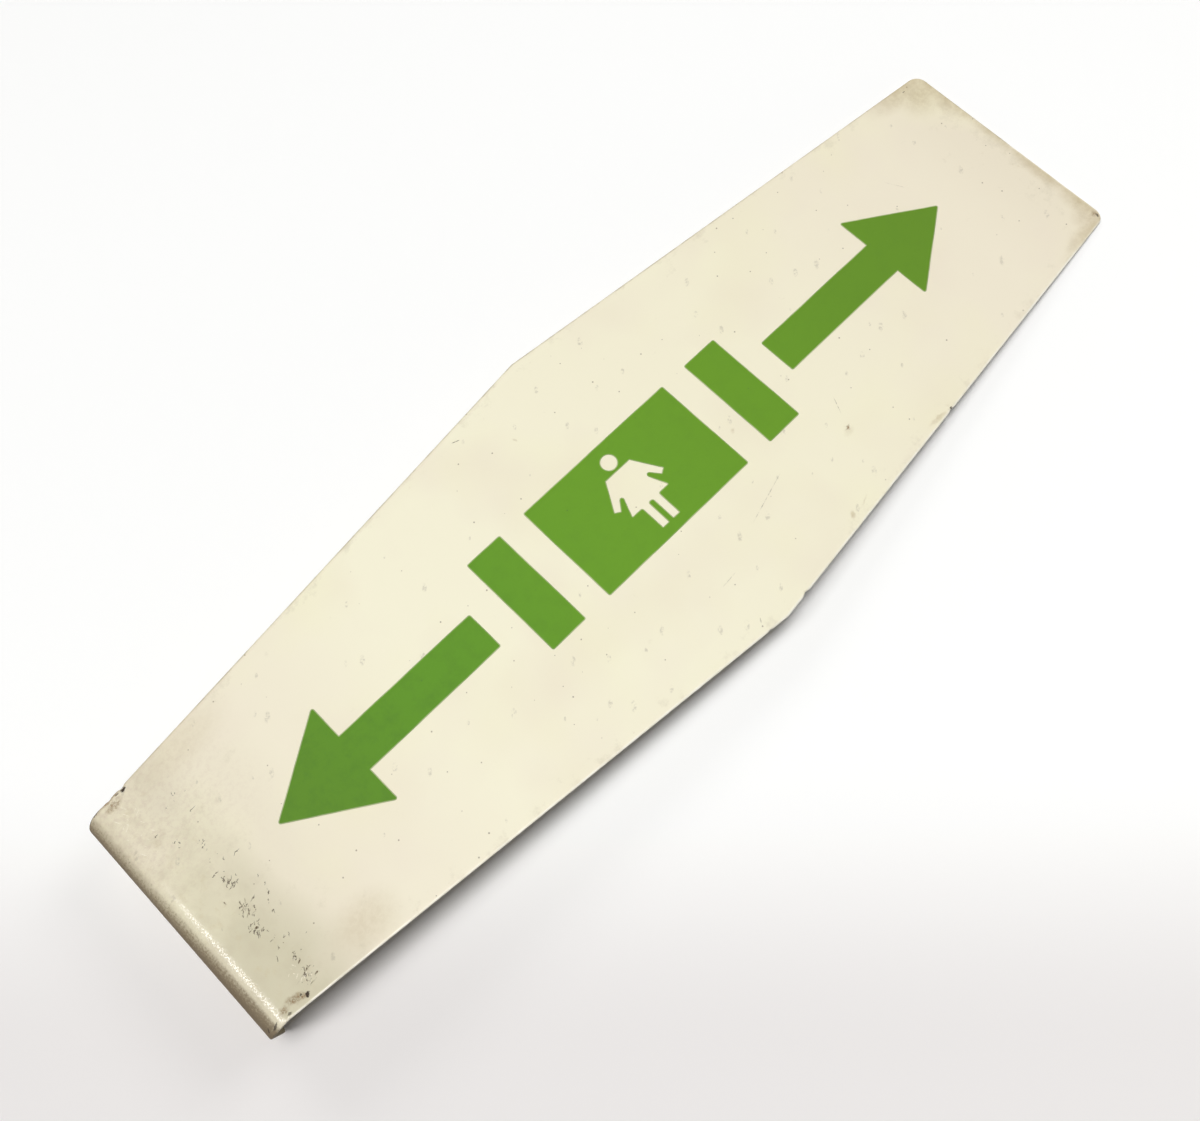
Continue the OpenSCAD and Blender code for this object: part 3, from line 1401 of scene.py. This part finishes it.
@dataclass
class Studio:
    """White paper in a white-walled room under four soft lamps, and the camera."""

    camera_at: tuple[float, float, float] = (-73.972, -84.521, 334.822)
    camera_turn: tuple[float, float, float] = (16.4013, 2.9801, -45.2943)
    lens: float = 38.88
    sensor: float = 36.0
    nearest_seen: float = 10.0
    lamps: tuple[Lamp, ...] = (
        Lamp("overhead_strip", (0.03, -0.008, 1.0), (0.32, 0.44), 0.55),
        Lamp("far_side", (0.76, -0.06, 0.64), (0.4, 0.4), 0.09),
        Lamp("upper_side", (0.2, 0.74, 0.64), (0.4, 0.4), 0.07),
        Lamp("bend_light", (-0.45, 0.165, 0.88), (0.24, 0.36), 0.185),
    )
    lamp_distance: float = 6400.0
    # Strength of the room's wall at the horizon and of its ceiling, and where they meet
    wall: float = 1.0
    ceiling: float = 0.04
    wall_top: tuple[float, float] = (0.08, 0.3)
    room: str = "#fefefe"
    floor_wide: float = 6000.0

    def build(self, paper: Material) -> None:
        """Sets up the floor, the lights, the world and the camera.

        Args:
            paper: the floor's material.
        """
        self.floor(paper)
        for lamp in self.lamps:
            self.hang(lamp)
        self.world()
        self.camera()
        bpy.context.scene.view_settings.view_transform = "Standard"

    def stand(self, name: str, data: Any) -> Object:
        """Makes an object of the studio, standing at the origin.

        Args:
            name: its name.
            data: its mesh, light or camera.

        Returns:
            The object.
        """
        made = bpy.data.objects.new(name, data)
        bpy.context.scene.collection.objects.link(made)
        return made

    def floor(self, paper: Material) -> None:
        """Lays the paper under the sign.

        Args:
            paper: its material.
        """
        mesh = bpy.data.meshes.new("paper_floor")
        half = self.floor_wide / 2 * MM
        corners = [(-half, -half, 0), (half, -half, 0), (half, half, 0), (-half, half, 0)]
        mesh.from_pydata(corners, [], [(0, 1, 2, 3)])
        mesh.materials.append(paper)
        self.stand("paper_floor", mesh)

    def hang(self, lamp: Lamp) -> None:
        """Hangs one lamp, turned to the sign.

        Args:
            lamp: the lamp.
        """
        at = Vector(lamp.towards).normalized() * self.lamp_distance * MM
        light = bpy.data.lights.new(lamp.name, "AREA")
        light.shape = "ELLIPSE"
        light.size, light.size_y = (size * at.length for size in lamp.sizes)
        light.energy = lamp.share * (math.pi * at.length) ** 2 * at.length / at.z
        made = self.stand(lamp.name, light)
        made.location = at
        made.rotation_euler = at.to_track_quat("Z", "Y").to_euler()

    def world(self) -> None:
        """Surrounds the sign with a white room, whose ceiling gives little light of its own."""
        world = bpy.data.worlds.new("studio_room")
        air = Nodes(world)
        height = air.add("SeparateXYZ", air.add("TexCoord", out="Generated"), out=2)
        limits = (*self.wall_top, self.wall, self.ceiling)
        strength = air.add("MapRange", height, *limits, interpolation_type="SMOOTHSTEP")
        seen = air.add("LightPath").node.outputs
        for ray in ("Is Camera Ray", "Is Glossy Ray", "Is Transmission Ray"):
            strength = air.add("Math", strength, seen[ray], operation="MAXIMUM")
        air.show(air.add("Background", linear(self.room), strength))
        bpy.context.scene.world = world

    def camera(self) -> None:
        """Stands the camera where the photograph was taken from."""
        data = bpy.data.cameras.new("photo_camera")
        data.lens = self.lens
        data.sensor_width = self.sensor
        data.sensor_fit = "HORIZONTAL"
        data.clip_start = self.nearest_seen * MM
        made = self.stand("photo_camera", data)
        made.location = Vector(self.camera_at) * MM
        made.rotation_euler = [math.radians(a) for a in self.camera_turn]
        bpy.context.scene.camera = made


NICKS = (
    Nick(run=189.7, side=-1, length=2.6, depth=0.45),
    Nick(run=175.9, side=-1, length=1.8, depth=0.25),
    Nick(run=256.2, side=-1, length=2.2, depth=0.35),
    Nick(run=35.2, side=1, length=2.4, depth=0.35),
    Nick(run=31.2, side=1, length=1.8, depth=0.2),
)


def marks(*rows: tuple[float, ...]) -> tuple[Mark, ...]:
    """Makes marks of rows of run, across, length, width, angle and strength."""
    return tuple(Mark(*row) for row in rows)


MARKS = {
    # Smudges, yellowed corners, and broad darker patches by the fold
    Wear.STAIN: marks(
        (166.8, 33.8, 2.2, 0.8, -70, 0.4),
        (209.8, -5.6, 2.6, 1.6, 30, 0.4),
        (160.4, -1.0, 2.4, 4.6, 10, 0.25),
        (231.6, -27.6, 5.0, 3.0, 20, 0.25),
        (214.2, -44.3, 3.4, 1.8, 50, 0.6),
        (219.6, -43.7, 4.0, 0.8, 20, 0.35),
        (251.5, -42.2, 9.0, 2.2, -6, 0.5),
        (52.0, 33.0, 40.0, 15.0, 5, 0.22),
        (329.6, 30.2, 22.0, 18.0, 30, 0.55),
        (325.5, 33.5, 32.0, 11.0, -8, 0.5),
        (332.0, 24.0, 22.0, 9.0, 92, 0.4),
        (328.5, 29.0, 2.4, 1.6, 30, 0.6),
        (331.6, 31.0, 1.6, 1.2, 30, 0.6),
        (332.4, -28.0, 24.0, 9.0, 88, 0.5),
        (330.5, -31.5, 13.0, 12.0, 0, 0.45),
        (326.5, -34.0, 24.0, 7.0, 6, 0.45),
        (56.0, -30.5, 24.0, 17.0, -4, 0.35),
        (332.6, -12.0, 24.0, 6.0, 90, 0.45),
    ),
    # Pale fine scratches at both ends of the bend
    Wear.RUB: marks(
        (32.0, 27.0, 11.0, 16.0),
        (29.5, 18.0, 7.0, 10.0, 0, 0.8),
        (38.0, -29.0, 8.0, 10.0, 0, 0.6),
    ),
    # Rust creeping from the chips
    Wear.RUST: marks(
        (31.0, 34.4, 10.0, 1.6, 4, 0.9),
        (31.2, 32.6, 7.0, 3.2, 8, 0.9),
        (33.2, -32.0, 7.0, 3.0, -18),
        (34.8, -32.8, 3.6, 1.8, -10),
        (29.6, -32.2, 4.0, 2.6, 0, 0.8),
        (232.4, -26.6, 2.9, 0.9, 20, 0.95),
        (232.0, -26.4, 1.9, 0.7, -60, 0.9),
        (332.6, -32.4, 2.6, 2.4, 20, 0.9),
    ),
    # Bruises and strokes where hands and tools met the bend's edge
    Wear.SCUFF: marks(
        (36.8, 15.4, 3.0, 5.0, 0, 0.6),
        (40.8, 10.2, 2.6, 4.0, 0, 0.7),
        (39.6, -0.6, 4.6, 6.5, 20),
        (38.0, -8.6, 5.0, 7.5, 10),
        (37.4, -13.8, 4.6, 6.0, 0),
        (38.4, -17.4, 3.4, 4.0, 0, 0.8),
        (40.2, -25.0, 3.6, 4.0, 0, 0.8),
        (39.2, -30.4, 5.6, 6.0, 0),
        (38.5, 23.0, 16.0, 20.0, 0, 0.06),
        (41.0, -9.0, 18.0, 46.0, 0, 0.06),
    ),
    Wear.SCRATCH: marks(
        # Single strokes among the scuffs
        (38.6, -29.1, 3.6, 0.42, 15, 0.95),
        (36.4, -29.7, 3.0, 0.25, 15, 0.5),
        (40.5, -31.1, 1.2, 0.5, 8),
        (38.8, -32.0, 2.6, 0.38, 3, 0.8),
        (39.3, -26.4, 1.4, 0.45, 25, 0.95),
        (38.1, -9.7, 2.8, 0.32, 26, 0.7),
        (35.5, -4.1, 1.3, 0.42, 86, 0.9),
        (38.0, -7.3, 2.8, 0.36, 88, 0.8),
        (39.2, -7.1, 2.0, 0.36, 63, 0.8),
        (37.1, -13.5, 1.1, 0.55, 0),
        (39.5, -0.4, 1.0, 0.5, 60),
        # Fine scratches over the face
        (202.0, -25.0, 18.0, 0.3, 16, 0.45),
        (178.2, -33.5, 6.0, 0.28, 4, 0.4),
        (235.2, -20.4, 6.0, 0.28, 65, 0.45),
        (167.4, -6.8, 2.6, 0.4, 80, 0.6),
        (175.9, -46.6, 1.8, 0.35, 55, 0.8),
        (155.1, 44.7, 3.4, 0.3, -20),
        (300.0, 14.0, 9.0, 0.25, -62, 0.3),
    ),
    # Chips down to dark steel, at both ends of the bend and along the edges
    Wear.CHIP: marks(
        (35.3, 34.2, 2.1, 1.2, 20),
        (33.4, 34.2, 1.4, 0.6, 0, 0.7),
        (26.0, 34.5, 5.4, 0.8, -4, 0.8),
        (24.6, 34.4, 6.0, 1.2, 6, 0.8),
        (36.0, -33.2, 1.6, 1.1, 40),
        (34.7, -32.2, 0.8, 0.5, 0, 0.8),
        (30.2, -33.6, 1.2, 0.5, 0, 0.7),
        (25.8, -33.2, 2.6, 0.8, 15, 0.8),
        (23.2, -32.6, 1.6, 0.7, 60, 0.8),
        (256.3, -42.4, 0.9, 0.8),
        (332.8, -33.2, 1.3, 0.9, 70, 0.8),
        (326.4, 33.6, 0.8, 0.6, 0, 0.6),
    ),
}


def main() -> None:
    """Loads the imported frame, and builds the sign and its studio."""
    logging.basicConfig(level=logging.INFO, format="%(name)s: %(message)s")
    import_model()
    size = SheetSize()
    studio = Studio()
    studio.build(PaperSweep().make())
    LOG.info("studio: floor, %d lamps, world and camera", len(studio.lamps))
    sheet = FoldedSheet(size, NICKS).build(AgedEnamel(size, MARKS).make())
    for piece in (sheet, *PrintRow(size).build(ScreenInk(size).make())):
        LOG.info("%s: %d faces", piece.name, len(piece.data.polygons))


if __name__ == "__main__":
    main()
